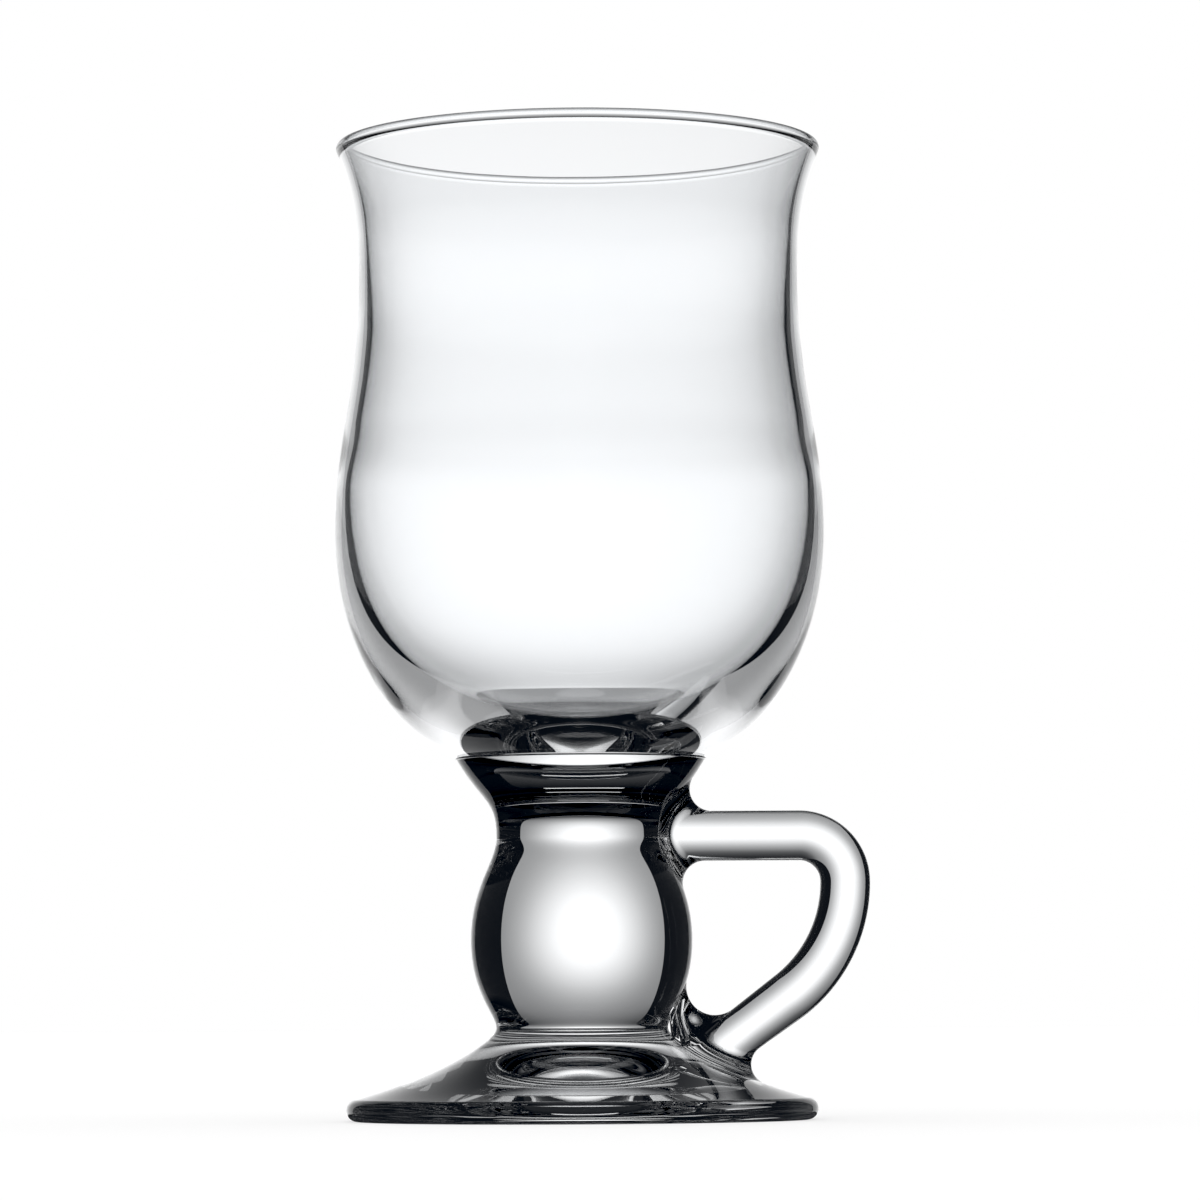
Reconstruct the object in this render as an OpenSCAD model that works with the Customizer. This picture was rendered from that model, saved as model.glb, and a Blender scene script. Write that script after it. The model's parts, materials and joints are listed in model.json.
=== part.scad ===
// Irish coffee glass: a footed bowl with a knop stem and a round rod handle.
// All sizes are in millimetres. The origin is on the axis of the glass, in the
// plane that it stands on, with +Z up and +X towards the handle.
// Each piece is shaped hot and joined to the next while soft: the stem to the
// bowl and the foot on flat welds, and the handle to the stem and the foot.

/* [Foot] */
// Radius of the foot over its rounded edge
foot_r = 35.8; // [34:0.1:38]
// Height of the foot, up to the crease where the stem starts
foot_h = 14; // [12.5:0.1:15]
// Radius of the rounded edge of the foot
foot_edge_r = 1.7; // [1.4:0.05:2]
// Height of the dome under the foot
dome_h = 5.9; // [5:0.1:6.6]
// Radius of the dome where it meets the standing ring
dome_r = 26; // [24.5:0.5:28]

/* [Stem] */
// Radius of the crease between the foot and the stem
crease_r = 13.05; // [12.5:0.05:13.5]
// Height of the stem, from the crease up to the weld under the bowl
stem_h = 41; // [39:0.1:44]
// Radius of the ball above the foot
ball_r = 16.85; // [16:0.05:17.5]
// Height of the widest part of the ball above the crease, as a share of the stem
ball_share = 0.324; // [0.3:0.002:0.35]
// Radius of the neck above the ball
neck_r = 12.9; // [12:0.1:13.5]
// Height of the neck above the crease, as a share of the stem
neck_share = 0.707; // [0.68:0.001:0.74]
// Radius of the collar under the bowl
collar_r = 19.1; // [18.8:0.1:19.6]

/* [Bowl] */
// Height of the bowl, from the weld to the brim
bowl_h = 95; // [88:0.5:105]
// Radius of the bowl at the weld
seam_r = 18.7; // [18.2:0.05:18.8]
// Radius of the belly of the bowl
belly_r = 37.3; // [36.5:0.1:38.5]
// Height of the belly above the weld, as a share of the bowl
belly_share = 0.364; // [0.34:0.002:0.39]
// Radius of the waist under the rim
waist_r = 33.55; // [32.5:0.05:34.5]
// Height of the waist above the weld, as a share of the bowl
waist_share = 0.776; // [0.75:0.002:0.8]
// Radius over the bead round the rim
rim_r = 37; // [36:0.1:38.5]
// Radius of the round section of the bead
bead_r = 1.1; // [0.95:0.05:1.3]
// Distance that the bead stands out from the wall
bead_lip = 0.25; // [0.1:0.05:0.4]
// Wall just under the bead
rim_wall = 1.2; // [1.1:0.05:1.4]
// Wall at the waist
waist_wall = 2; // [1.7:0.1:2.3]
// Wall at the widest part of the cavity
belly_wall = 2.5; // [2.2:0.1:2.8]
// Height of the widest part of the cavity above the weld, as a share of the bowl
cavity_share = 0.424; // [0.4:0.002:0.45]
// Solid glass between the cavity and the weld
floor_wall = 2.7; // [2.4:0.1:4]

/* [Handle] */
// Radius of the glass rod
rod_r = 3.8; // [3.4:0.1:4]
// Radius of the rod at the bottom of the lower leg, where it is pinched a little
leg_r = 3.6; // [3.4:0.05:3.8]
// Reach of the outer side of the handle from the axis of the glass
handle_reach = 43.9; // [41:0.1:47]
// Radius of the upper corner, at the middle of the rod
corner_r = 7; // [6:0.1:8]
// Slope of the lower leg below the horizontal
leg_slope = 36.5; // [33:0.5:38]
// Depth below the crease at which the middle of the leg would meet the ball's radius
leg_drop = 6.2; // [5.6:0.1:6.6]
// Radius of the fillet where the top bar meets the stem
bar_fillet = 3.3; // [2.6:0.1:3.6]
// Radius of the fillet under the lower leg, where it meets the foot
leg_fillet = 3; // [2.6:0.1:3.4]
// Radius of the fillet over the lower leg, where it meets the ball
crotch_fillet = 4.3; // [3.4:0.1:5]

/* [Hidden] */
$fn = 96;
curve_steps = 14;
ring_points = 40;
fillet_steps = 5;
search_steps = 14;
glass = [0.80, 0.87, 0.90];

// Depth of the wall's top edge inside the bead, as a share of the bead
bead_seat_share = 0.55;

// Heights of the welds and of the widest and narrowest places
weld_z = foot_h + stem_h;
ball_rise = stem_h * ball_share;
ball_z = foot_h + ball_rise;
neck_z = foot_h + stem_h * neck_share;
belly_rise = bowl_h * belly_share;
belly_z = weld_z + belly_rise;
waist_z = weld_z + bowl_h * waist_share;
brim_z = weld_z + bowl_h;
wall_top_z = brim_z - bead_r - bead_r * bead_seat_share;
wall_top_r = rim_r - bead_lip;
cavity_z = weld_z + floor_wall;
cavity_belly_z = weld_z + bowl_h * cavity_share;

// Directions of the outline at the welds and the rim, in degrees
foot_edge_slope = 14;
collar_slope = 60;
seam_slope = 20;
flare_slope = 66;
dome_slope = 164;
level = 0;
upright = 90;

// Lengths of the curve handles, as shares of the height that each curve spans
foot_crease_share = 0.24;
foot_edge_share = 0.92;
crease_share = 0.16;
ball_lower_share = 0.61;
ball_upper_share = 0.53;
neck_lower_share = 0.25;
neck_upper_share = 0.485;
collar_share = 0.68;
seam_share = 0.29;
belly_lower_share = 0.52;
belly_upper_share = 0.38;
waist_lower_share = 0.475;
waist_upper_share = 0.32;
flare_share = 0.40;
cavity_side_share = 0.61;
cavity_floor_share = 0.73;
dome_share = 0.38;

// The middle line of the handle. The bow is the arc that touches both the leg's
// line and the upright line below the corner
bar_z = neck_z;
corner_x = handle_reach - rod_r - corner_r;
corner_z = bar_z - corner_r;
bow_turn = 90 - leg_slope;
leg_foot_z = foot_h - leg_drop;
leg_meets_z = leg_foot_z + (handle_reach - rod_r - ball_r) * tan(leg_slope);
bow_r = (corner_z - leg_meets_z) / tan(bow_turn / 2);
bow_x = handle_reach - rod_r - bow_r;
leg_x = bow_x + bow_r * cos(bow_turn);
leg_z = corner_z - bow_r * sin(bow_turn);
bar_len = corner_x - neck_r;
leg_len = (leg_x - ball_r) / cos(leg_slope);

// The leg starts a little inside the bow, as a share of the rod's radius, and
// that much smaller
leg_overlap_share = 0.15;
leg_start_share = 0.99;

// A cubic curve between two points. Each end has a slope in degrees, measured
// from level, and a handle length
function curve(a, a_slope, a_pull, b, b_slope, b_pull) =
    let (c = a + a_pull * [cos(a_slope), sin(a_slope)],
         d = b + b_pull * [cos(b_slope), sin(b_slope)])
    [for (i = [0:curve_steps]) let (t = i / curve_steps, u = 1 - t)
        u * u * u * a + 3 * u * u * t * c + 3 * u * t * t * d + t * t * t * b];

// The top of the foot, from the rounded edge up to the crease
foot_edge_x = foot_r - foot_edge_r;
foot_edge_top = [foot_edge_x + foot_edge_r * sin(foot_edge_slope),
                 foot_edge_r + foot_edge_r * cos(foot_edge_slope)];
foot_rise = foot_h - 2 * foot_edge_r;
foot_top = curve(foot_edge_top, 180 - foot_edge_slope, foot_rise * foot_edge_share,
                 [crease_r, foot_h], -upright, foot_rise * foot_crease_share);

// The dome under the foot, from its middle out to the standing ring
dome = curve([0, dome_h], level, dome_r * dome_share,
             [dome_r, 0], dome_slope, dome_r * dome_share);

// The side of the stem, from the crease up to the weld
stem_side = concat(
    curve([crease_r, foot_h], upright, ball_rise * crease_share,
          [ball_r, ball_z], -upright, ball_rise * ball_lower_share),
    curve([ball_r, ball_z], upright, (neck_z - ball_z) * ball_upper_share,
          [neck_r, neck_z], -upright, (neck_z - ball_z) * neck_lower_share),
    curve([neck_r, neck_z], upright, (weld_z - neck_z) * neck_upper_share,
          [collar_r, weld_z], 180 + collar_slope, (weld_z - neck_z) * collar_share));

// The outside of the bowl, from the weld up to the bead
bowl_side = concat(
    curve([seam_r, weld_z], seam_slope, belly_rise * seam_share,
          [belly_r, belly_z], -upright, belly_rise * belly_lower_share),
    curve([belly_r, belly_z], upright, (waist_z - belly_z) * belly_upper_share,
          [waist_r, waist_z], -upright, (waist_z - belly_z) * waist_lower_share),
    curve([waist_r, waist_z], upright, (wall_top_z - waist_z) * waist_upper_share,
          [wall_top_r, wall_top_z], 180 + flare_slope,
          (wall_top_z - waist_z) * flare_share));

// The inside of the bowl, from the bead down to the middle of the floor
cavity_rise = cavity_belly_z - cavity_z;
cavity_waist = [waist_r - waist_wall, waist_z];
cavity_belly = [belly_r - belly_wall, cavity_belly_z];
waist_drop = waist_z - cavity_belly_z;
cavity_side = concat(
    curve([wall_top_r - rim_wall, wall_top_z], 180 + flare_slope,
          (wall_top_z - waist_z) * flare_share,
          cavity_waist, upright, (wall_top_z - waist_z) * waist_upper_share),
    curve(cavity_waist, -upright, waist_drop * waist_lower_share,
          cavity_belly, upright, waist_drop * belly_upper_share),
    curve(cavity_belly, -upright, cavity_rise * cavity_side_share,
          [0, cavity_z], level, cavity_belly.x * cavity_floor_share));

// Nearest point to p on an outline
function along(p, a, b) = a + (b - a) * max(0, min(1, (p - a) * (b - a) / ((b - a) * (b - a))));
function nearest(p, line) =
    let (hits = [for (i = [1:len(line) - 1]) if (norm(line[i] - line[i - 1]) > 0)
                     along(p, line[i - 1], line[i])],
         gaps = [for (h = hits) norm(p - h)])
    hits[search(min(gaps), gaps)[0]];

// Distance from a ball at c to the glass below and behind it, and the point on
// the glass that the ball touches first
solid_side = concat(foot_top, stem_side);
function flat(c) = [norm([c.x, c.y]), c.z];
function gap(c) = norm(flat(c) - nearest(flat(c), solid_side));
function touch(c) =
    let (q = nearest(flat(c), solid_side), s = q.x / flat(c).x)
    [c.x * s, c.y * s, q.y];

// Centre of a ball of radius r that rolls along a rod and rests against the
// glass: out leads from the rod's middle to the ball's, and near and far bracket
// its place along the rod
function rest(start, dir, out, r, near, far, n) =
    let (mid = (near + far) / 2, c = start + out + dir * mid)
    n == 0 ? c
           : gap(c) > r ? rest(start, dir, out, r, mid, far, n - 1)
                        : rest(start, dir, out, r, near, mid, n - 1);

// Ring of points part of the way round the fillet, from the rod to the glass
function turned(a, b, share) =
    let (whole = acos(a * b)) (sin(whole * (1 - share)) * a + sin(whole * share) * b) / sin(whole);

// Root of a rod: the fillet that a rolling ball leaves between the rod and the
// glass, closed inside the rod and inside the glass. The ball's radius grows from
// under_r on one side of the rod to over_r on the other
module root(start, dir, side, rod, under_r, over_r, reach) {
    first_share = 0.08;
    last_share = 0.9;
    core_share = 0.7;
    sunk = under_r / 3;
    angles = [for (i = [0:ring_points - 1]) 360 * i / ring_points];
    outs = [for (a = angles) cos(a) * [0, 1, 0] + sin(a) * side];
    radii = [for (a = angles) under_r + (over_r - under_r) * (1 + sin(a)) / 2];
    balls = [for (i = [0:ring_points - 1])
        rest(start, dir, outs[i] * (rod + radii[i]), radii[i], -over_r, reach, search_steps)];
    ways = [for (b = balls) let (way = touch(b) - b) way / norm(way)];
    inner = [for (i = [0:ring_points - 1])
        balls[i] - outs[i] * (radii[i] + rod * (1 - core_share))];
    bands = [for (k = [0:fillet_steps]) for (i = [0:ring_points - 1])
        let (share = first_share + (last_share - first_share) * k / fillet_steps)
        balls[i] + radii[i] * turned(-outs[i], ways[i], share)];
    buried = [for (i = [0:ring_points - 1]) balls[i] + ways[i] * (radii[i] + sunk)];
    points = concat([start], inner, bands, buried, [start + dir * reach]);
    rows = fillet_steps + 2;
    last = len(points) - 1;
    function at(k, i) = 1 + k * ring_points + i % ring_points;
    walls = [for (k = [0:rows - 1]) for (i = [0:ring_points - 1])
        each [[at(k, i), at(k, i + 1), at(k + 1, i)],
              [at(k, i + 1), at(k + 1, i + 1), at(k + 1, i)]]];
    caps = [for (i = [0:ring_points - 1])
        each [[0, at(0, i + 1), at(0, i)], [last, at(rows, i), at(rows, i + 1)]]];
    polyhedron(points, concat(walls, caps));
}

module foot_solid(underside = dome) {
    rotate_extrude() {
        polygon(concat(underside, [[foot_edge_x, 0], [foot_edge_x, foot_edge_r]],
                       foot_top, [[0, foot_h]]));
        translate([foot_edge_x, foot_edge_r]) circle(foot_edge_r);
    }
}

module stem_solid() {
    rotate_extrude() polygon(concat([[0, foot_h]], stem_side, [[0, weld_z]]));
}

module foot() { color(glass) foot_solid(); }

module stem() { color(glass) stem_solid(); }

module bowl() {
    color(glass) rotate_extrude() {
        polygon(concat([[0, weld_z]], bowl_side, cavity_side));
        translate([rim_r - bead_r, brim_z - bead_r]) circle(bead_r);
    }
}

module rod_arc(middle_r, turn) {
    rotate_extrude(angle = turn) translate([middle_r, 0]) circle(rod_r);
}

module handle() {
    leg_dir = [-cos(leg_slope), 0, -sin(leg_slope)];
    leg_side = [-sin(leg_slope), 0, cos(leg_slope)];
    leg_overlap = rod_r * leg_overlap_share;
    color(glass) difference() {
        union() {
            translate([neck_r, 0, bar_z]) rotate([0, 90, 0]) cylinder(bar_len, rod_r, rod_r);
            translate([corner_x, 0, corner_z]) rotate([90, 0, 0]) rod_arc(corner_r, 90);
            translate([bow_x, 0, corner_z]) rotate([-90, 0, 0]) rod_arc(bow_r, bow_turn);
            translate([leg_x, 0, leg_z] - leg_dir * leg_overlap)
                rotate([0, -90 - leg_slope, 0])
                cylinder(leg_len + leg_overlap, rod_r * leg_start_share, leg_r);
            root([corner_x, 0, bar_z], [-1, 0, 0], [0, 0, 1], rod_r, bar_fillet, bar_fillet,
                 corner_x - neck_r / 2);
            root([leg_x, 0, leg_z], leg_dir, leg_side, leg_r, leg_fillet, crotch_fillet,
                 leg_len + neck_r / 2);
        }
        stem_solid();
        foot_solid([[0, 0]]);
    }
}

bowl();
stem();
foot();
handle();
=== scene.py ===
"""Irish coffee glass: a clear footed glass with a flared bowl, a ball stem and a rod handle, in a small studio."""

import json
import math

import bmesh
import bpy
import numpy as np
from mathutils import Matrix, Vector
from mathutils.bvhtree import BVHTree

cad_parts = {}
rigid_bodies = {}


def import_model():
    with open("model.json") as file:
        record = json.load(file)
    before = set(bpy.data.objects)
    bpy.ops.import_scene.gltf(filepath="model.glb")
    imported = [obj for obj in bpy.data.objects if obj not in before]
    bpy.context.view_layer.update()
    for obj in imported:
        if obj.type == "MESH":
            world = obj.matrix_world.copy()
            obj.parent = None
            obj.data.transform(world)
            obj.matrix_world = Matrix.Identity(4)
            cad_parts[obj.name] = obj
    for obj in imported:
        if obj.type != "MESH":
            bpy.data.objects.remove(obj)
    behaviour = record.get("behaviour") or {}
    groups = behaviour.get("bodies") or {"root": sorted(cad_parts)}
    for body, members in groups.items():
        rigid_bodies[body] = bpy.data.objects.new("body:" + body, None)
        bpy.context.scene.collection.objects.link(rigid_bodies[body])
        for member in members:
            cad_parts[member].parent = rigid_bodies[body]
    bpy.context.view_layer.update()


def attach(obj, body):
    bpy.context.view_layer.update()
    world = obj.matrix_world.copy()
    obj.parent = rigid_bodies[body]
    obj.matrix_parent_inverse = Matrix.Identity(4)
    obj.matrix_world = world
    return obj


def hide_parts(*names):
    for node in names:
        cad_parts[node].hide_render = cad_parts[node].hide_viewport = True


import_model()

bl_info = {
    "name": "Irish coffee glass",
    "version": (1, 0, 0),
    "blender": (4, 5, 0),
    "location": "3D View > Sidebar > Glass",
    "description": "Builds a footed coffee glass piece by piece round its packed model, and the studio round it",
    "category": "Object",
}

MM = 0.001
WHOLE_TURN = 2 * math.pi
UP = math.radians(90)
DOWN = -UP

# What every length among the sizes has
LENGTH = {"unit": "LENGTH", "precision": 5}

# Steps round a turned piece, points round the rod, and rings where the rod tapers towards its root
TURN_STEPS = 240
ROD_POINTS = 96
TAPER_RINGS = 8

# Steps of an outline shorter than this are skipped, closer points become one, and this near counts as level
SHORTEST_STEP = 0.5e-6
SAME_POINT = 0.2e-6
SAME_LEVEL = 1e-6

# Creases sharper than this stay sharp
CREASE_ANGLE = math.radians(32)

# The way of a test line that is square to nothing on the glass, and how far off a surface it starts
TEST_WAY = Vector((0.31, 0.87, 0.39)).normalized()
NUDGE = 1e-7

# The camera's place, how far it looks up and how far it leans. In the photograph the horizon lies 417 pixels
# under the middle, at a focal length of 5800 pixels
CAMERA_PLACE = (0.00308, -0.8822, 0.0156)
CAMERA_PITCH = math.atan(417 / 5800)
CAMERA_ROLL = math.radians(-0.32)

# Height of the middle of the lit cloth and of the dark cards, about half the glass, and the cards' size
STUDIO_MIDDLE = 0.075
CARD_SIZE = 6

# Share of the table's look that is plain white to the camera
TABLE_WHITE_SHARE = 0.6


# Sizes


class FootSizes(bpy.types.PropertyGroup):
    radius: bpy.props.FloatProperty(
        name="Radius", description="Radius of the foot over its rounded edge", default=35.8 * MM, **LENGTH
    )
    height: bpy.props.FloatProperty(
        name="Height", description="Height of the crease where the stem starts", default=14 * MM, **LENGTH
    )
    edge_radius: bpy.props.FloatProperty(
        name="Edge", description="Radius of the rounded edge", default=1.7 * MM, **LENGTH
    )
    dome_height: bpy.props.FloatProperty(
        name="Dome height", description="Height of the hollow under the foot", default=5.9 * MM, **LENGTH
    )
    dome_radius: bpy.props.FloatProperty(
        name="Dome radius", description="Radius of the hollow under the foot", default=26 * MM, **LENGTH
    )


class StemSizes(bpy.types.PropertyGroup):
    height: bpy.props.FloatProperty(
        name="Height", description="Height from the crease to the weld under the bowl", default=41 * MM, **LENGTH
    )
    crease_radius: bpy.props.FloatProperty(
        name="Crease", description="Radius of the crease over the foot", default=13.05 * MM, **LENGTH
    )
    ball_radius: bpy.props.FloatProperty(
        name="Ball", description="Radius of the ball", default=16.85 * MM, **LENGTH
    )
    ball_share: bpy.props.FloatProperty(
        name="Ball height", description="Height of the ball's widest part, as a share of the stem", default=0.324, subtype="FACTOR"
    )
    neck_radius: bpy.props.FloatProperty(
        name="Neck", description="Radius of the neck", default=12.9 * MM, **LENGTH
    )
    neck_share: bpy.props.FloatProperty(
        name="Neck height", description="Height of the neck, as a share of the stem", default=0.707, subtype="FACTOR"
    )
    collar_radius: bpy.props.FloatProperty(
        name="Collar", description="Radius of the collar under the bowl", default=19.1 * MM, **LENGTH
    )
    collar_edge: bpy.props.FloatProperty(
        name="Collar edge", description="Radius of the melted edge of the collar", default=0.22 * MM, **LENGTH
    )


class BowlSizes(bpy.types.PropertyGroup):
    height: bpy.props.FloatProperty(
        name="Height", description="Height from the weld to the brim", default=94.1 * MM, **LENGTH
    )
    seam_radius: bpy.props.FloatProperty(
        name="Seam", description="Radius of the bowl at the weld", default=18.7 * MM, **LENGTH
    )
    belly_radius: bpy.props.FloatProperty(
        name="Belly", description="Radius of the belly", default=37.3 * MM, **LENGTH
    )
    belly_share: bpy.props.FloatProperty(
        name="Belly height", description="Height of the belly, as a share of the bowl", default=0.3675, subtype="FACTOR"
    )
    waist_radius: bpy.props.FloatProperty(
        name="Waist", description="Radius of the waist", default=33.55 * MM, **LENGTH
    )
    waist_share: bpy.props.FloatProperty(
        name="Waist height", description="Height of the waist, as a share of the bowl", default=0.7834, subtype="FACTOR"
    )
    rim_radius: bpy.props.FloatProperty(
        name="Rim", description="Radius over the bead", default=37 * MM, **LENGTH
    )
    bead_radius: bpy.props.FloatProperty(
        name="Bead", description="Radius of the bead's round section", default=0.85 * MM, **LENGTH
    )
    bead_lip: bpy.props.FloatProperty(
        name="Bead lip", description="How far the bead stands out from the wall", default=0.12 * MM, **LENGTH
    )
    rim_wall: bpy.props.FloatProperty(
        name="Rim wall", description="Wall just under the bead", default=1.58 * MM, **LENGTH
    )
    body_wall: bpy.props.FloatProperty(
        name="Wall", description="Wall below the waist", default=2.30 * MM, **LENGTH
    )
    cavity_radius: bpy.props.FloatProperty(
        name="Cavity", description="Radius of the widest part of the cavity", default=34.87 * MM, **LENGTH
    )
    cavity_share: bpy.props.FloatProperty(
        name="Cavity belly", description="Height of the widest part of the cavity, as a share of the bowl", default=0.4207, subtype="FACTOR"
    )
    floor_wall: bpy.props.FloatProperty(
        name="Floor", description="Solid glass under the cavity", default=2.77 * MM, **LENGTH
    )


class HandleSizes(bpy.types.PropertyGroup):
    rod_radius: bpy.props.FloatProperty(
        name="Rod", description="Radius of the glass rod", default=3.8 * MM, **LENGTH
    )
    leg_radius: bpy.props.FloatProperty(
        name="Leg end", description="Radius of the rod where the leg lands", default=3.6 * MM, **LENGTH
    )
    reach: bpy.props.FloatProperty(
        name="Reach", description="Distance of its outer side from the axis", default=43.9 * MM, **LENGTH
    )
    corner_radius: bpy.props.FloatProperty(
        name="Corner", description="Radius of the upper corner", default=7 * MM, **LENGTH
    )
    leg_slope: bpy.props.FloatProperty(
        name="Leg slope", description="Slope of the leg below the horizontal", default=math.radians(36.5), subtype="ANGLE"
    )
    leg_drop: bpy.props.FloatProperty(
        name="Leg drop", description="Depth below the crease at which the leg would meet the ball's radius", default=6.2 * MM, **LENGTH
    )
    bar_fillet: bpy.props.FloatProperty(
        name="Bar fillet", description="Fillet where the bar meets the stem", default=3.3 * MM, **LENGTH
    )
    leg_fillet: bpy.props.FloatProperty(
        name="Leg fillet", description="Fillet under the leg", default=3 * MM, **LENGTH
    )
    crotch_fillet: bpy.props.FloatProperty(
        name="Crotch fillet", description="Fillet between the leg and the ball", default=4.3 * MM, **LENGTH
    )


class StudioSetup(bpy.types.PropertyGroup):
    lens: bpy.props.FloatProperty(
        name="Lens", description="Focal length", default=174, unit="CAMERA"
    )
    card_distance: bpy.props.FloatProperty(
        name="Cards", description="Distance of the dark cards behind the glass", default=0.290, unit="LENGTH"
    )
    card_left: bpy.props.FloatProperty(
        name="Left card", description="Distance of the left card's edge from the middle", default=0.2046, unit="LENGTH"
    )
    card_right: bpy.props.FloatProperty(
        name="Right card", description="Distance of the right card's edge from the middle", default=0.188, unit="LENGTH"
    )
    # The dark cards' colour is also that of the painted shade disc under the foot
    card_colour: bpy.props.FloatVectorProperty(
        name="Card colour", description="Colour of the dark cards", default=(0.0022, 0.0036, 0.0062), subtype="COLOR"
    )
    table_colour: bpy.props.FloatVectorProperty(
        name="Table", description="Colour of the table", default=(0.92, 0.92, 0.92), subtype="COLOR"
    )


SIZE_GROUPS = {
    "foot_sizes": FootSizes,
    "stem_sizes": StemSizes,
    "bowl_sizes": BowlSizes,
    "handle_sizes": HandleSizes,
    "studio_setup": StudioSetup,
}


# Colours and materials


def linear(code):
    """Linear colour of an sRGB hex code."""
    parts = [int(code[i : i + 2], 16) / 255 for i in (1, 3, 5)]
    return [p / 12.92 if p <= 0.04045 else ((p + 0.055) / 1.055) ** 2.4 for p in parts] + [1]


def add_node(tree, kind, values=None, **settings):
    """Adds a node. Settings are its own, and each value goes in a socket, or is linked to it where it is an output."""
    made = tree.nodes.new(kind)
    for name, value in settings.items():
        setattr(made, name, value)
    for name, value in (values or {}).items():
        if isinstance(value, bpy.types.NodeSocket):
            tree.links.new(value, made.inputs[name])
        else:
            made.inputs[name].default_value = value
    return made


def new_material(name):
    """An empty node material and its tree."""
    material = bpy.data.materials.get(name)
    if material:
        return material, None
    material = bpy.data.materials.new(name)
    material.use_nodes = True
    material.node_tree.nodes.clear()
    return material, material.node_tree


def pressed_glass():
    """Soda-lime glass, pressed in a mould and polished in a flame. It is clear and colourless with a hard
    bright gloss, and the mould leaves slow ripples in the surface that only show in what is seen through it."""
    material, tree = new_material("Soda-lime glass, pressed and fire-polished")
    if tree is None:
        return material
    place = add_node(tree, "ShaderNodeTexCoord").outputs["Object"]
    # Ripples lie 9 mm apart up the glass and longer round it
    squeezed = add_node(tree, "ShaderNodeMapping", {"Vector": place, "Scale": (0.5, 0.5, 1)})
    ripple = add_node(
        tree,
        "ShaderNodeTexNoise",
        {"Vector": squeezed.outputs["Vector"], "Scale": 1 / (9 * MM), "Detail": 1.5, "Roughness": 0.4},
    )
    bump = add_node(
        tree, "ShaderNodeBump", {"Height": ripple.outputs["Fac"], "Distance": 0.02 * MM, "Strength": 1.0}
    )
    glass = add_node(
        tree,
        "ShaderNodeBsdfPrincipled",
        {
            "Base Color": linear("#fdfeff"),
            "Roughness": 0.0,
            "IOR": 1.52,
            "Transmission Weight": 1.0,
            "Normal": bump.outputs["Normal"],
        },
    )
    add_node(tree, "ShaderNodeOutputMaterial", {"Surface": glass.outputs["BSDF"]})
    return material


def drawn_glass():
    """Soda-lime glass rod, drawn hot and bent by hand. Clear and bright, with fine draw lines along it and
    smooth waves where it was pressed on."""
    material, tree = new_material("Soda-lime glass, drawn rod")
    if tree is None:
        return material
    place = add_node(tree, "ShaderNodeTexCoord").outputs["Object"]
    wave = add_node(
        tree, "ShaderNodeTexNoise", {"Vector": place, "Scale": 1 / (11 * MM), "Detail": 1.0, "Roughness": 0.4}
    )
    bump = add_node(
        tree, "ShaderNodeBump", {"Height": wave.outputs["Fac"], "Distance": 0.03 * MM, "Strength": 1.0}
    )
    glass = add_node(
        tree,
        "ShaderNodeBsdfPrincipled",
        {
            "Base Color": linear("#fdfeff"),
            "Roughness": 0.0,
            "IOR": 1.52,
            "Transmission Weight": 1.0,
            "Normal": bump.outputs["Normal"],
        },
    )
    add_node(tree, "ShaderNodeOutputMaterial", {"Surface": glass.outputs["BSDF"]})
    return material


def fused_joint():
    """Two pieces of glass melted into one. Nothing shows there, because light goes straight on."""
    material, tree = new_material("Fused glass joint")
    if tree is None:
        return material
    through = add_node(tree, "ShaderNodeBsdfTransparent", {"Color": (1, 1, 1, 1)})
    add_node(tree, "ShaderNodeOutputMaterial", {"Surface": through.outputs["BSDF"]})
    return material


def table_top(colour):
    """Matt white laminate. It takes a soft shadow and has no gloss. The camera sees it nearly white."""
    material, tree = new_material("Matt white laminate")
    if tree is None:
        return material
    laminate = add_node(
        tree, "ShaderNodeBsdfPrincipled", {"Base Color": (*colour, 1), "Roughness": 0.8, "Specular IOR Level": 0.1}
    )
    white = add_node(tree, "ShaderNodeEmission", {"Color": (1, 1, 1, 1), "Strength": 1})
    seen = add_node(tree, "ShaderNodeLightPath").outputs["Is Camera Ray"]
    share = add_node(tree, "ShaderNodeMath", {0: seen, 1: TABLE_WHITE_SHARE}, operation="MULTIPLY").outputs[0]
    both = add_node(
        tree, "ShaderNodeMixShader", {0: share, 1: laminate.outputs["BSDF"], 2: white.outputs["Emission"]}
    )
    add_node(tree, "ShaderNodeOutputMaterial", {"Surface": both.outputs["Shader"]})
    return material


# The round light on the cloth, in degrees: how far its middle lies to the left and under the horizon, and its
# reach up, down and to each side. It has faded out at 2.3 times its reach
LIGHT_LEFT, LIGHT_BELOW = 2.5, 1.0
LIGHT_UP, LIGHT_DOWN, LIGHT_WIDE = 15.5, 20.0, 20.0
LIGHT_FADE = 2.3

# The narrow lamp overhead, in degrees: its height, half its depth and half its width
LAMP_HEIGHT, LAMP_HALF_DEPTH, LAMP_HALF_WIDTH = 62.0, 1.5, 25.0

# How bright the round light is, from its middle to where it has faded out
LIGHT_LEVELS = (
    (0, 0.95), (0.13, 0.9), (0.217, 0.82), (0.326, 0.62), (0.435, 0.41),
    (0.543, 0.23), (0.652, 0.11), (0.783, 0.03), (1, 0),
)
# How bright the grey behind it is, from straight down to straight up
GREY_LEVELS = (
    (0, 0.02), (0.12, 0.06), (0.2, 0.25), (0.28, 0.4), (0.36, 0.37), (0.44, 0.32), (0.5, 0.3),
    (0.58, 0.29), (0.62, 0.27), (0.69, 0.1), (0.75, 0.04), (0.83, 0.01), (1, 0),
)
# The share of that grey which is left, from behind the glass to square beside it
SIDE_LEVELS = ((0, 1), (0.33, 1), (0.66, 0.8), (0.74, 0), (1, 0))


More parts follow.
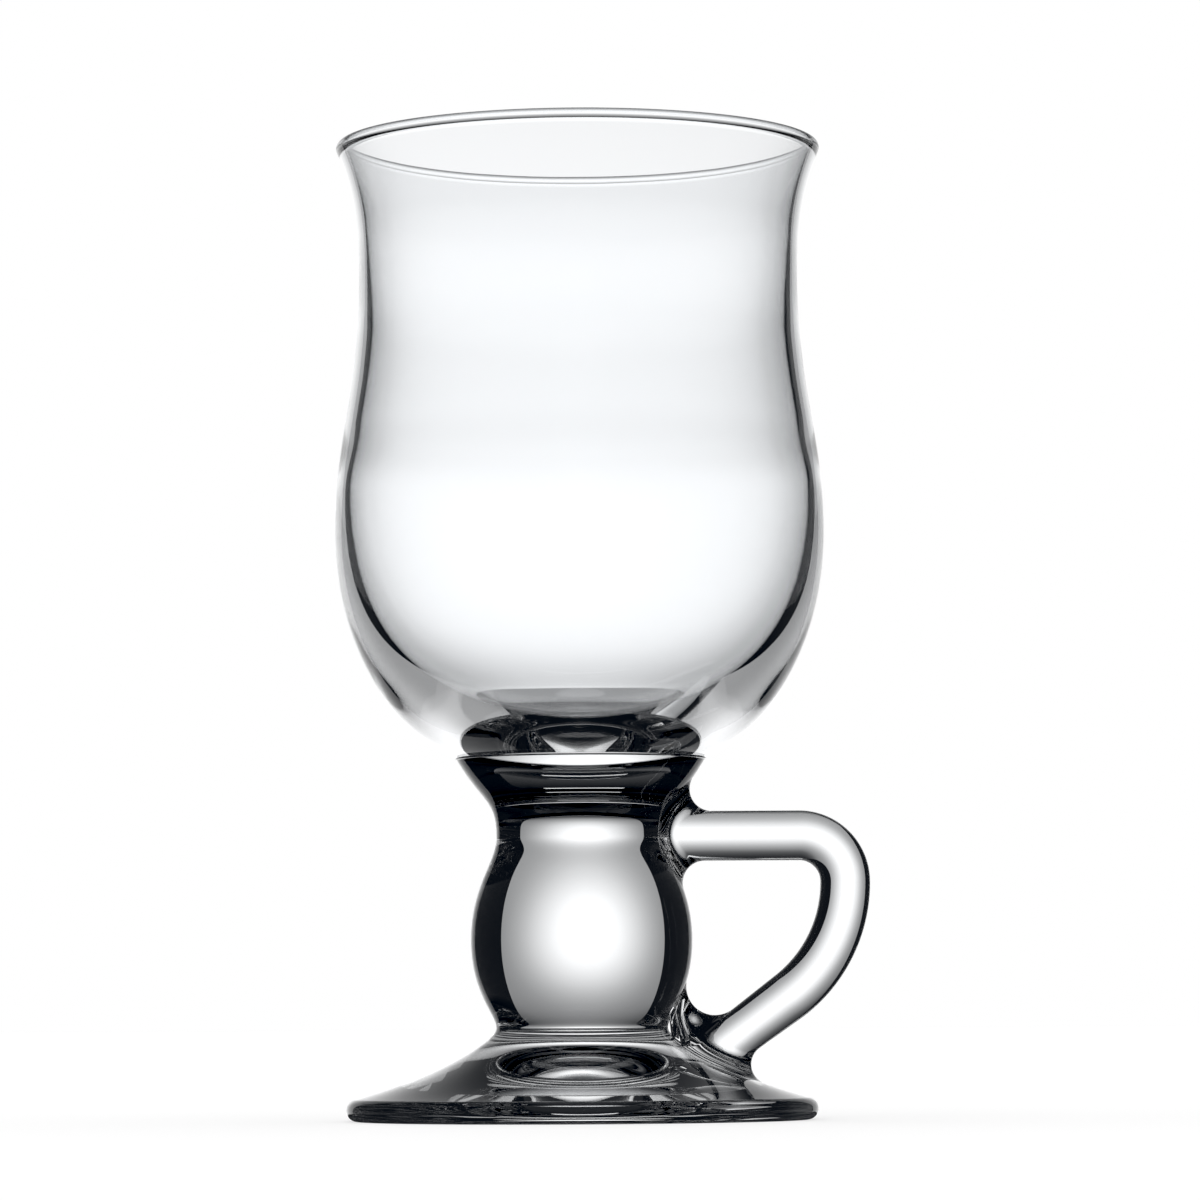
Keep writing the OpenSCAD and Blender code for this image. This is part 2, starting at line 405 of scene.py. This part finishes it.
def lit_muslin(colour):
    """Bleached muslin hung round the glass and lit from behind. A round soft light stands behind the glass, on an
    even grey that ends well above it, and the rest of the cloth is dark."""
    material, tree = new_material("Bleached muslin, lit from behind")
    if tree is None:
        return material
    place = add_node(tree, "ShaderNodeTexCoord").outputs["Object"]
    way = add_node(tree, "ShaderNodeVectorMath", {0: place}, operation="NORMALIZE").outputs["Vector"]
    made = dict(add_node(tree, "ShaderNodeSeparateXYZ", {"Vector": way}).outputs.items())
    # Each line names a value, and says what is done to which values or numbers to get it. Angles are in degrees
    steps = (
        ("turn", "ARCTAN2", "X", "Y"),
        ("turn_degrees", "DEGREES", "turn", 0.0),
        ("from_light", "ADD", "turn_degrees", LIGHT_LEFT),
        ("side", "ABSOLUTE", "from_light", 0.0),
        ("slope", "ARCSINE", "Z", 0.0),
        ("rise", "DEGREES", "slope", 0.0),
        ("above", "ADD", "rise", LIGHT_BELOW),
        ("up", "DIVIDE", "above", LIGHT_UP),
        ("down", "DIVIDE", "above", -LIGHT_DOWN),
        ("tall", "MAXIMUM", "up", "down"),
        ("wide", "DIVIDE", "side", LIGHT_WIDE),
        ("tall_squared", "MULTIPLY", "tall", "tall"),
        ("wide_squared", "MULTIPLY", "wide", "wide"),
        ("away_squared", "ADD", "tall_squared", "wide_squared"),
        ("away", "SQRT", "away_squared", 0.0),
        ("away_share", "DIVIDE", "away", LIGHT_FADE),
        ("light", LIGHT_LEVELS, "away_share", None),
        ("from_below", "ADD", "rise", 90.0),
        ("height_share", "DIVIDE", "from_below", 180.0),
        ("grey", GREY_LEVELS, "height_share", None),
        ("side_share", "DIVIDE", "side", 90.0),
        ("left_over", SIDE_LEVELS, "side_share", None),
        ("grey_here", "MULTIPLY", "grey", "left_over"),
        ("cloth", "ADD", "light", "grey_here"),
        ("from_lamp", "SUBTRACT", "rise", LAMP_HEIGHT),
        ("off_lamp", "ABSOLUTE", "from_lamp", 0.0),
        ("lamp_deep", "LESS_THAN", "off_lamp", LAMP_HALF_DEPTH),
        ("lamp_wide", "LESS_THAN", "side", LAMP_HALF_WIDTH),
        ("lamp", "MULTIPLY", "lamp_deep", "lamp_wide"),
        ("strength", "ADD", "cloth", "lamp"),
    )
    for name, action, a, b in steps:
        a, b = made.get(a, a), made.get(b, b)
        if isinstance(action, str):
            made[name] = add_node(tree, "ShaderNodeMath", {0: a, 1: b}, operation=action).outputs[0]
            continue
        bend = add_node(tree, "ShaderNodeFloatCurve", {"Value": a})
        line = bend.mapping.curves[0]
        line.points[0].location, line.points[-1].location = action[0], action[-1]
        for spot in action[1:-1]:
            line.points.new(*spot)
        bend.mapping.update()
        made[name] = bend.outputs["Value"]
    lit = add_node(tree, "ShaderNodeEmission", {"Color": (1, 1, 1, 1), "Strength": made["strength"]})
    dark = add_node(tree, "ShaderNodeEmission", {"Color": (*colour, 1), "Strength": 1})
    both = add_node(tree, "ShaderNodeAddShader", {0: lit.outputs["Emission"], 1: dark.outputs["Emission"]})
    add_node(tree, "ShaderNodeOutputMaterial", {"Surface": both.outputs["Shader"]})
    return material


def booth_cloth_and_painted_shade(colour):
    """Dark blue-black velvet. It gives the glass its dark edges, with next to no light of its own. The same material on
    the disc under the foot is painted shade.
    """
    material, tree = new_material("Dark velvet cloth and painted shade")
    if tree is None:
        return material
    cloth = add_node(tree, "ShaderNodeEmission", {"Color": (*colour, 1), "Strength": 1})
    add_node(tree, "ShaderNodeOutputMaterial", {"Surface": cloth.outputs["Emission"]})
    return material


# Outlines


def curve(a, a_slope, a_pull, b, b_slope, b_pull, steps, crowd="both"):
    """Points of a cubic curve between two points of an outline, by the slope and the pull at each end. They
    crowd at the ends that meet another piece or a curve, so that the shading runs on."""
    a, b = Vector(a), Vector(b)
    c = a + a_pull * Vector((math.cos(a_slope), math.sin(a_slope)))
    d = b + b_pull * Vector((math.cos(b_slope), math.sin(b_slope)))
    spread = {
        "both": lambda s: (1 - math.cos(math.pi * s)) / 2,
        "start": lambda s: 1 - math.cos(math.pi * s / 2),
        "end": lambda s: math.sin(math.pi * s / 2),
        "none": lambda s: s,
    }[crowd]
    points = []
    for i in range(steps + 1):
        t = spread(i / steps)
        u = 1 - t
        points.append(u * u * u * a + 3 * u * u * t * c + 3 * u * t * t * d + t * t * t * b)
    return points


def arc(centre, radius, first, last, steps):
    """Points of an arc, from one angle to another."""
    turns = [first + (last - first) * i / steps for i in range(steps + 1)]
    return [Vector(centre) + radius * Vector((math.cos(t), math.sin(t))) for t in turns]


def levels(context):
    """Heights of the crease, the ball, the neck, the weld, the belly, the waist and the brim."""
    foot, stem, bowl = context.scene.foot_sizes, context.scene.stem_sizes, context.scene.bowl_sizes
    crease = foot.height
    weld = crease + stem.height
    return {
        "crease": crease,
        "ball": crease + stem.height * stem.ball_share,
        "neck": crease + stem.height * stem.neck_share,
        "weld": weld,
        "belly": weld + bowl.height * bowl.belly_share,
        "waist": weld + bowl.height * bowl.waist_share,
        "brim": weld + bowl.height,
    }


def foot_top(context):
    """The top of the foot, from its rounded edge up to the crease."""
    foot, stem = context.scene.foot_sizes, context.scene.stem_sizes
    slope = math.radians(14)
    edge = foot.edge_radius
    start = (foot.radius - edge + edge * math.sin(slope), edge + edge * math.cos(slope))
    rise = foot.height - 2 * edge
    return curve(start, math.pi - slope, rise * 0.92, (stem.crease_radius, foot.height), DOWN, rise * 0.24, 60)


def stem_side(context):
    """The side of the stem, from the crease up to the weld."""
    stem, at = context.scene.stem_sizes, levels(context)
    low, mid, high = at["ball"] - at["crease"], at["neck"] - at["ball"], at["weld"] - at["neck"]
    crease, ball = (stem.crease_radius, at["crease"]), (stem.ball_radius, at["ball"])
    neck, collar = (stem.neck_radius, at["neck"]), (stem.collar_radius, at["weld"])
    slope = math.radians(60)
    return (
        curve(crease, UP, low * 0.16, ball, DOWN, low * 0.61, 50, "start")
        + curve(ball, UP, mid * 0.53, neck, DOWN, mid * 0.25, 40, "none")
        + curve(neck, UP, high * 0.485, collar, math.pi + slope, high * 0.68, 40, "end")
    )


def bowl_side(context):
    """The outside of the bowl, from the weld up to the bead."""
    bowl, at = context.scene.bowl_sizes, levels(context)
    top_z = at["brim"] - bowl.bead_radius * 1.55
    top_r = bowl.rim_radius - bowl.bead_lip
    low, mid, high = at["belly"] - at["weld"], at["waist"] - at["belly"], top_z - at["waist"]
    seam, belly = (bowl.seam_radius, at["weld"]), (bowl.belly_radius, at["belly"])
    waist = (bowl.waist_radius, at["waist"])
    return (
        curve(seam, math.radians(20), low * 0.29, belly, DOWN, low * 0.52, 64, "start")
        + curve(belly, UP, mid * 0.38, waist, DOWN, mid * 0.475, 50, "none")
        + curve(waist, UP, high * 0.32, (top_r, top_z), math.pi + math.radians(66), high * 0.40, 40, "none")
    )


def bowl_inside(context):
    """The inside of the bowl, from the bead down to the middle of its floor. The wall is thin and even under the
    bead, and grows to its full thickness round the waist."""
    bowl, at = context.scene.bowl_sizes, levels(context)
    floor, widest = at["weld"] + bowl.floor_wall, at["weld"] + bowl.height * bowl.cavity_share
    blend, grow_from, grow_over = 10 * MM, at["waist"] + 8 * MM, 17 * MM
    inside = []
    for spot in reversed(bowl_side(context)):
        if spot[1] > widest + blend:
            grown = min(max((grow_from - spot[1]) / grow_over, 0), 1)
            wall = bowl.rim_wall + (bowl.body_wall - bowl.rim_wall) * grown * grown * (3 - 2 * grown)
            inside.append(Vector((spot[0] - wall, spot[1])))
    slope = math.atan2(*reversed(inside[-1] - inside[-3]))
    belly, low = (bowl.cavity_radius, widest), widest - floor
    return (
        inside
        + curve(inside[-1], slope, blend * 0.4, belly, UP, blend * 0.4, 14, "none")
        + curve(belly, DOWN, low * 0.666, (0, floor), 0, bowl.cavity_radius * 0.582, 100, "none")
    )


# Modelling


def deselect(mesh):
    """Deselects every vertex, edge and face of a mesh in edit mode."""
    for part in (*mesh.verts, *mesh.edges, *mesh.faces):
        part.select = False


def only(*pieces):
    """Selects these objects and nothing else. The first is the active one."""
    bpy.ops.object.select_all(action="DESELECT")
    for piece in pieces:
        piece.select_set(True)
    bpy.context.view_layer.objects.active = pieces[0]


def turned(name, outline):
    """A closed piece turned from an outline of (radius, height) points, drawn by extruding a point."""
    bpy.ops.object.select_all(action="DESELECT")
    bpy.ops.mesh.primitive_plane_add(size=MM, location=(0, 0, 0))
    piece = bpy.context.object
    piece.name = piece.data.name = name
    bpy.ops.object.mode_set(mode="EDIT")
    bpy.ops.mesh.select_all(action="SELECT")
    bpy.ops.mesh.merge(type="CENTER")
    bpy.ops.transform.translate(value=(outline[0][0], 0, outline[0][1]))
    spot = outline[0]
    for point in outline[1:]:
        if (point - spot).length > SHORTEST_STEP:
            step = (point[0] - spot[0], 0, point[1] - spot[1])
            bpy.ops.mesh.extrude_vertices_move(TRANSFORM_OT_translate={"value": step})
            spot = point
    bpy.ops.mesh.select_all(action="SELECT")
    bpy.ops.mesh.spin(steps=TURN_STEPS, angle=WHOLE_TURN, center=(0, 0, 0), axis=(0, 0, 1))
    bpy.ops.mesh.select_all(action="SELECT")
    bpy.ops.mesh.remove_doubles(threshold=SAME_POINT)
    bpy.ops.mesh.normals_make_consistent(inside=False)
    bpy.ops.object.mode_set(mode="OBJECT")
    return piece


def finish(piece, material, node, joint_faces=()):
    """Gives a piece its glass, its smooth shading and its place in the frame."""
    piece.data.materials.clear()
    piece.data.materials.append(material)
    piece.data.materials.append(fused_joint())
    inside = set(joint_faces)
    for face in piece.data.polygons:
        face.material_index = 1 if face.index in inside else 0
    only(piece)
    bpy.ops.object.shade_smooth_by_angle(angle=CREASE_ANGLE)
    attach(piece, "root")
    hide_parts(node)


def level_faces(piece, height, radius):
    """Faces of a piece that lie flat at a height, within a radius of the axis."""
    found = []
    for face in piece.data.polygons:
        spots = [piece.data.vertices[v].co for v in face.vertices]
        if all(abs(s.z - height) < SAME_LEVEL and math.hypot(s.x, s.y) < radius + SAME_LEVEL for s in spots):
            found.append(face.index)
    return found


def copy_of(piece, name):
    """A copy of a piece with its own mesh."""
    only(piece)
    bpy.ops.object.duplicate(linked=False)
    made = bpy.context.object
    made.name = made.data.name = name
    return made


def remove(*pieces):
    """Deletes objects that were only tools."""
    only(*pieces)
    bpy.ops.object.delete()


# Operators


class GLASS_OT_foot(bpy.types.Operator):
    """Turns the foot, with its rounded edge and the dome underneath"""

    bl_idname = "glass.foot"
    bl_label = "Foot"

    def execute(self, context):
        foot, at = context.scene.foot_sizes, levels(context)
        edge = foot.edge_radius
        centre = (foot.radius - edge, edge)
        pull = foot.dome_radius * 0.38
        outline = (
            curve((0, foot.dome_height), 0, pull, (foot.dome_radius, 0), math.radians(164), pull, 60, "none")
            + arc(centre, edge, DOWN, math.radians(76), 26)
            + foot_top(context)
            + [Vector((0, at["crease"]))]
        )
        piece = turned("foot_glass", outline)
        finish(piece, pressed_glass(), "foot", level_faces(piece, at["crease"], foot.radius))
        return {"FINISHED"}


class GLASS_OT_stem(bpy.types.Operator):
    """Turns the stem: the ball, the neck and the collar under the bowl"""

    bl_idname = "glass.stem"
    bl_label = "Stem"

    def execute(self, context):
        bowl, stem, at = context.scene.bowl_sizes, context.scene.stem_sizes, levels(context)
        side = stem_side(context)
        edge = stem.collar_edge
        below = [p for p in side if p[1] < at["weld"] - edge * 1.2]
        rim = arc((stem.collar_radius - edge, at["weld"] - edge), edge, -0.3, UP, 8)
        bottom = [Vector((0, at["crease"]))]
        top = [Vector((bowl.seam_radius, at["weld"])), Vector((0, at["weld"]))]
        piece = turned("stem_glass", bottom + below + rim + top)
        joints = level_faces(piece, at["weld"], bowl.seam_radius)
        joints += level_faces(piece, at["crease"], stem.crease_radius)
        finish(piece, pressed_glass(), "stem", joints)
        return {"FINISHED"}


class GLASS_OT_bowl(bpy.types.Operator):
    """Turns the bowl, with its solid base and the bead round the rim"""

    bl_idname = "glass.bowl"
    bl_label = "Bowl"

    def execute(self, context):
        bowl, at = context.scene.bowl_sizes, levels(context)
        centre = Vector((bowl.rim_radius - bowl.bead_radius, at["brim"] - bowl.bead_radius))
        outside = [p for p in bowl_side(context) if (p - centre).length > bowl.bead_radius]
        inside = [p for p in bowl_inside(context) if (p - centre).length > bowl.bead_radius * 1.02]
        first = outside[-1] - centre
        last = inside[0] - centre
        start, end = math.atan2(first[1], first[0]), math.atan2(last[1], last[0]) + WHOLE_TURN
        bead = arc(centre, bowl.bead_radius, start + 0.05, end - 0.05, 40)
        outline = [Vector((0, at["weld"]))] + outside + bead + inside
        piece = turned("bowl_glass", outline)
        finish(piece, pressed_glass(), "bowl", level_faces(piece, at["weld"], bowl.seam_radius))
        return {"FINISHED"}


class GLASS_OT_handle(bpy.types.Operator):
    """Bends the handle from a glass rod, and melts its two ends on to the stem and the foot"""

    bl_idname = "glass.handle"
    bl_label = "Handle"

    def execute(self, context):
        handle, stem = context.scene.handle_sizes, context.scene.stem_sizes
        foot, at = context.scene.foot_sizes, levels(context)
        rod = handle.rod_radius
        bar_z = at["neck"]
        corner = Vector((handle.reach - rod - handle.corner_radius, 0, bar_z - handle.corner_radius))
        turn = UP - handle.leg_slope
        meets = foot.height - handle.leg_drop + (handle.reach - rod - stem.ball_radius) * math.tan(handle.leg_slope)
        bow_radius = (corner.z - meets) / math.tan(turn / 2)
        bow = Vector((handle.reach - rod - bow_radius, 0, corner.z))
        leg = bow + bow_radius * Vector((math.cos(turn), 0, -math.sin(turn)))
        down_leg = Vector((-math.cos(handle.leg_slope), 0, -math.sin(handle.leg_slope)))
        over_leg = Vector((down_leg.z, 0, -down_leg.x))

        # The rod: a ring at the end of the bar, spun round the corner and round the bow
        bpy.ops.object.select_all(action="DESELECT")
        bpy.ops.mesh.primitive_circle_add(
            vertices=ROD_POINTS, radius=rod, location=(corner.x, 0, bar_z), rotation=(0, UP, 0)
        )
        piece = context.object
        piece.name = piece.data.name = "handle_glass"
        bpy.ops.object.transform_apply(location=True, rotation=True, scale=True)
        bpy.ops.object.mode_set(mode="EDIT")
        bpy.ops.mesh.select_all(action="SELECT")
        bpy.ops.mesh.spin(steps=30, angle=-UP, center=corner, axis=(0, 1, 0))
        bpy.ops.mesh.spin(steps=48, angle=-turn, center=bow, axis=(0, 1, 0))

        glass_side = foot_top(context) + stem_side(context)
        leg_deep = (leg.x - stem.ball_radius) / math.cos(handle.leg_slope) + stem.neck_radius / 4
        bar_deep = corner.x - stem.neck_radius / 2
        bar, in_bar, over_bar = Vector((corner.x, 0, bar_z)), Vector((-1, 0, 0)), Vector((0, 0, 1))
        sides = [
            (leg, down_leg, over_leg, handle.leg_radius, handle.leg_fillet, handle.crotch_fillet, leg_deep),
            (bar, in_bar, over_bar, rod, handle.bar_fillet, handle.bar_fillet, bar_deep),
        ]
        for start, along, over, end_rod, under_fillet, over_fillet, deep in sides:
            mesh = bmesh.from_edit_mesh(piece.data)
            deselect(mesh)
            for vert in mesh.verts:
                away = vert.co - start
                if abs(away.dot(along)) < SAME_LEVEL and away.length < rod * 1.01:
                    vert.select = True
            mesh.select_flush(True)
            bmesh.update_edit_mesh(piece.data)
            root = Root(start, along, over, end_rod, under_fillet, over_fillet, glass_side)
            near = root.nearest_start() - 0.15 * MM
            for k in range(1, TAPER_RINGS + 1):
                middle = start + along * (near * k / TAPER_RINGS)
                radius = rod + (end_rod - rod) * k / TAPER_RINGS
                self.next_ring(piece, over, lambda out, middle=middle, radius=radius: middle + out * radius)
            for k in range(Root.RINGS + 1):
                self.next_ring(piece, over, lambda out, k=k: root.spot(out, k / Root.RINGS))
            self.next_ring(piece, over, root.buried)
            self.next_ring(piece, over, lambda out: start + along * deep)
            bpy.ops.mesh.merge(type="CENTER")
        bpy.ops.mesh.select_all(action="SELECT")
        bpy.ops.mesh.remove_doubles(threshold=SAME_POINT)
        bpy.ops.mesh.normals_make_consistent(inside=False)
        bpy.ops.object.mode_set(mode="OBJECT")

        # Its ends take the shape of what they are melted on to, and leave their outline there
        joint = fused_joint()
        uncut = copy_of(piece, "uncut_rod")
        for name in ("stem_glass", "foot_glass"):
            body = bpy.data.objects[name]
            cutter = copy_of(body, "cutter")
            cutter.data.materials.clear()
            cutter.data.materials.append(joint)
            for face in cutter.data.polygons:
                face.material_index = 0
            only(piece)
            cut = piece.modifiers.new("Cut", "BOOLEAN")
            cut.operation, cut.solver, cut.object, cut.material_mode = "DIFFERENCE", "EXACT", cutter, "TRANSFER"
            bpy.ops.object.modifier_apply(modifier=cut.name)
            remove(cutter)
            self.mark_footprint(body, uncut)
        joints = [
            f.index for f in piece.data.polygons
            if len(piece.data.materials) > f.material_index and piece.data.materials[f.material_index] == joint
        ]
        remove(uncut)
        finish(piece, drawn_glass(), "handle", joints)
        return {"FINISHED"}

    def next_ring(self, piece, over, place):
        """Extrudes the selected ring, and puts each of its points where place says, by the point's direction
        from the rod's middle."""
        mesh = bmesh.from_edit_mesh(piece.data)
        middle = sum((v.co for v in mesh.verts if v.select), Vector()) / sum(v.select for v in mesh.verts)
        key = mesh.verts.layers.float_vector.get("out") or mesh.verts.layers.float_vector.new("out")
        mesh.verts.ensure_lookup_table()
        for vert in mesh.verts:
            if vert.select and vert[key].length < 0.5:
                away = vert.co - middle
                vert[key] = (Vector((0, 1, 0)) * away.y + over * away.dot(over)).normalized()
        bmesh.update_edit_mesh(piece.data)
        bpy.ops.mesh.extrude_region_move(TRANSFORM_OT_translate={"value": (0, 0, 0)})
        mesh = bmesh.from_edit_mesh(piece.data)
        key = mesh.verts.layers.float_vector.get("out")
        for vert in mesh.verts:
            if vert.select:
                vert.co = place(vert[key].copy())
        bmesh.update_edit_mesh(piece.data)

    def select_material(self, body, number):
        """Selects the faces of a body in edit mode that have the material of this number, and nothing else."""
        mesh = bmesh.from_edit_mesh(body.data)
        deselect(mesh)
        for face in mesh.faces:
            if face.material_index == number:
                face.select_set(True)
        bmesh.update_edit_mesh(body.data)

    def mark_footprint(self, body, uncut):
        """Cuts the outline of the rod into the surface of a body, and marks what is inside it as joint."""
        tree = BVHTree.FromObject(uncut, bpy.context.evaluated_depsgraph_get())
        tool = copy_of(uncut, "tool")
        tool.data.materials.clear()
        tool.data.materials.append(booth_cloth_and_painted_shade((0, 0, 0)))
        for face in tool.data.polygons:
            face.material_index = 0
        only(body, tool)
        bpy.ops.object.join()
        bpy.ops.object.mode_set(mode="EDIT")
        number = len(body.data.materials) - 1
        self.select_material(body, number)
        bpy.ops.mesh.intersect(mode="SELECT_UNSELECT", separate_mode="NONE", threshold=NUDGE, solver="EXACT")
        self.select_material(body, number)
        bpy.ops.mesh.delete(type="FACE")

        # A face is inside the rod where a line from it crosses the rod's surface an odd number of times
        mesh = bmesh.from_edit_mesh(body.data)
        for face in mesh.faces:
            spot, crossed = face.calc_center_median(), 0
            while spot is not None:
                spot = tree.ray_cast(spot + TEST_WAY * NUDGE, TEST_WAY)[0]
                crossed += spot is not None
            if crossed % 2:
                face.material_index = 1
        bmesh.update_edit_mesh(body.data)
        bpy.ops.object.mode_set(mode="OBJECT")
        only(body)
        body.active_material_index = number
        bpy.ops.object.material_slot_remove()


class Root:
    """The melted root of a rod: the fillet that a ball leaves as it rolls along the rod and rests on the glass."""

    RINGS = 18  # rings from the rod to the glass
    LAST = 0.95  # share of the fillet at which they end
    REACH = 40 * MM  # longest way along the rod to a resting ball
    HALVINGS = 26  # halvings of that way
    SIDES = 48  # sides of the rod that are tried for the first ball
    SUNK = 1.0 * MM  # depth of the last ring inside the glass
    SAME_SPOT = 1e-9  # points of the glass's side closer than this are one

    def __init__(self, start, along, over, rod, under_fillet, over_fillet, glass_side):
        self.start, self.along, self.over, self.rod = start, along, over, rod
        self.under_fillet, self.over_fillet = under_fillet, over_fillet
        steps = zip(glass_side, glass_side[1:])
        line = np.array([tuple(glass_side[0])] + [tuple(b) for a, b in steps if (b - a).length > self.SAME_SPOT])
        self.first, self.step = line[:-1], line[1:] - line[:-1]
        self.found = {}

    def nearest(self, spot):
        """Nearest point of the glass to a point, and the point's height over the glass, which is negative inside it."""
        flat = np.array((math.hypot(spot.x, spot.y), spot.z))
        share = np.clip(((flat - self.first) * self.step).sum(1) / (self.step**2).sum(1), 0, 1)
        hits = self.first + share[:, None] * self.step
        best = ((hits - flat) ** 2).sum(1).argmin()
        hit, away = hits[best], flat - hits[best]
        height = math.copysign(math.hypot(*away), away[0] * self.step[best][1] - away[1] * self.step[best][0])
        return Vector((spot.x * hit[0] / flat[0], spot.y * hit[0] / flat[0], hit[1])), height

    def ball(self, out):
        """Radius, middle and touching direction of the ball that rests on this side of the rod."""
        key = tuple(round(c, 5) for c in out)
        if key not in self.found:
            radius = self.under_fillet + (self.over_fillet - self.under_fillet) * (1 + out.dot(self.over)) / 2
            near, far = -self.over_fillet, self.REACH
            for _ in range(self.HALVINGS):
                mid = (near + far) / 2
                spot = self.start + out * (self.rod + radius) + self.along * mid
                if self.nearest(spot)[1] > radius:
                    near = mid
                else:
                    far = mid
            spot = self.start + out * (self.rod + radius) + self.along * near
            self.found[key] = radius, spot, (self.nearest(spot)[0] - spot).normalized(), near
        return self.found[key]

    def nearest_start(self):
        """Distance along the rod of the first point where the fillet starts."""
        sides = [WHOLE_TURN * i / self.SIDES for i in range(self.SIDES)]
        return min(self.ball(Vector((0, 1, 0)) * math.cos(s) + self.over * math.sin(s))[3] for s in sides)

    def spot(self, out, share):
        """Point part of the way round the fillet, from the rod to the glass."""
        radius, middle, way, _ = self.ball(out)
        whole = math.acos(max(-1, min(1, -out.dot(way))))
        share *= self.LAST
        side = (math.sin(whole * (1 - share)) * -out + math.sin(whole * share) * way) / math.sin(whole)
        return middle + radius * side

    def buried(self, out):
        """Point of the ring that closes the root inside the glass."""
        radius, middle, way, _ = self.ball(out)
        return middle + way * (radius + self.SUNK)


class GLASS_OT_studio(bpy.types.Operator):
    """Sets up the camera, the table, the lit cloth behind the glass and the two dark cards beside it"""

    bl_idname = "glass.studio"
    bl_label = "Studio"

    def execute(self, context):
        scene, setup = context.scene, context.scene.studio_setup

        # The camera stands low and looks up a little, as in the photograph
        aim = Matrix.Rotation(UP + CAMERA_PITCH, 3, "X") @ Matrix.Rotation(CAMERA_ROLL, 3, "Z")
        bpy.ops.object.camera_add(location=CAMERA_PLACE, rotation=aim.to_euler())
        camera = context.object
        camera.name = "camera"
        camera.data.lens, camera.data.sensor_width = setup.lens, 36
        camera.data.clip_start, camera.data.clip_end = 0.01, 50
        scene.camera = camera

        bpy.ops.mesh.primitive_plane_add(size=12, location=(0, 0, 0))
        table = context.object
        table.name = "table"
        table.data.materials.append(table_top(setup.table_colour))
        table.visible_glossy = table.visible_transmission = False

        # Painted shade: a dark disc right under the foot, in the dark cards' colour, which is only seen through the
        # glass
        bpy.ops.mesh.primitive_circle_add(vertices=96, radius=0.04, fill_type="NGON", location=(0, 0, -0.0002))
        shade = context.object
        shade.name = "foot_shade"
        shade.data.materials.append(booth_cloth_and_painted_shade(setup.card_colour))
        shade.visible_camera = shade.visible_diffuse = shade.visible_shadow = shade.visible_volume_scatter = False

        # The lit cloth and the two dark cards go round with the camera, so that every view is lit from behind
        bpy.ops.mesh.primitive_uv_sphere_add(segments=64, ring_count=32, radius=8, location=(0, 0, STUDIO_MIDDLE))
        cloth = context.object
        cloth.name = "lit_cloth"
        cloth.data.materials.append(lit_muslin(setup.card_colour))
        cards = [cloth]
        half = CARD_SIZE / 2
        for name, middle in (("card_left", -setup.card_left - half), ("card_right", setup.card_right + half)):
            bpy.ops.mesh.primitive_plane_add(
                size=CARD_SIZE, location=(middle, setup.card_distance, STUDIO_MIDDLE), rotation=(UP, 0, 0)
            )
            cards.append(context.object)
            cards[-1].name = name
            cards[-1].data.materials.append(booth_cloth_and_painted_shade(setup.card_colour))
        for card in cards:
            card.visible_camera = card.visible_diffuse = card.visible_shadow = card.visible_volume_scatter = False
        only(camera, *cards)
        bpy.ops.object.parent_set(type="OBJECT", keep_transform=True)

        world = bpy.data.worlds.new("studio")
        scene.world = world
        world.use_nodes = True
        tree = world.node_tree
        tree.nodes.clear()
        # Plain white to the camera, in gloss and through glass, and a little brighter as light on the table
        seen = add_node(tree, "ShaderNodeLightPath").outputs
        direct = seen["Is Camera Ray"]
        for kind in ("Is Glossy Ray", "Is Transmission Ray"):
            direct = add_node(tree, "ShaderNodeMath", {0: direct, 1: seen[kind]}, operation="MAXIMUM").outputs[0]
        level = add_node(tree, "ShaderNodeMapRange", {"Value": direct, "To Min": 1.2, "To Max": 1.0})
        back = add_node(tree, "ShaderNodeBackground", {"Color": (1, 1, 1, 1), "Strength": level.outputs["Result"]})
        add_node(tree, "ShaderNodeOutputWorld", {"Surface": back.outputs["Background"]})

        scene.view_settings.view_transform = "Standard"
        scene.cycles.max_bounces = scene.cycles.transmission_bounces = 32
        scene.cycles.glossy_bounces = scene.cycles.transparent_max_bounces = 32
        return {"FINISHED"}


class GLASS_PT_pieces(bpy.types.Panel):
    """Lists the sizes and the pieces of the glass"""

    bl_label = "Irish coffee glass"
    bl_space_type = "VIEW_3D"
    bl_region_type = "UI"
    bl_category = "Glass"

    def draw(self, context):
        for name, group in SIZE_GROUPS.items():
            box = self.layout.box()
            box.label(text=name.replace("_", " ").capitalize())
            for key in group.__annotations__:
                box.prop(getattr(context.scene, name), key)
        for maker in MAKERS:
            self.layout.operator(maker.bl_idname)


MAKERS = (GLASS_OT_studio, GLASS_OT_foot, GLASS_OT_stem, GLASS_OT_bowl, GLASS_OT_handle)
CLASSES = (*SIZE_GROUPS.values(), *MAKERS, GLASS_PT_pieces)


def register():
    for made in CLASSES:
        bpy.utils.register_class(made)
    for name, group in SIZE_GROUPS.items():
        setattr(bpy.types.Scene, name, bpy.props.PointerProperty(type=group))


def unregister():
    for name in SIZE_GROUPS:
        delattr(bpy.types.Scene, name)
    for made in reversed(CLASSES):
        bpy.utils.unregister_class(made)


def main():
    register()
    bpy.ops.glass.studio()
    bpy.ops.glass.foot()
    bpy.ops.glass.stem()
    bpy.ops.glass.bowl()
    bpy.ops.glass.handle()


if __name__ == "__main__":
    main()
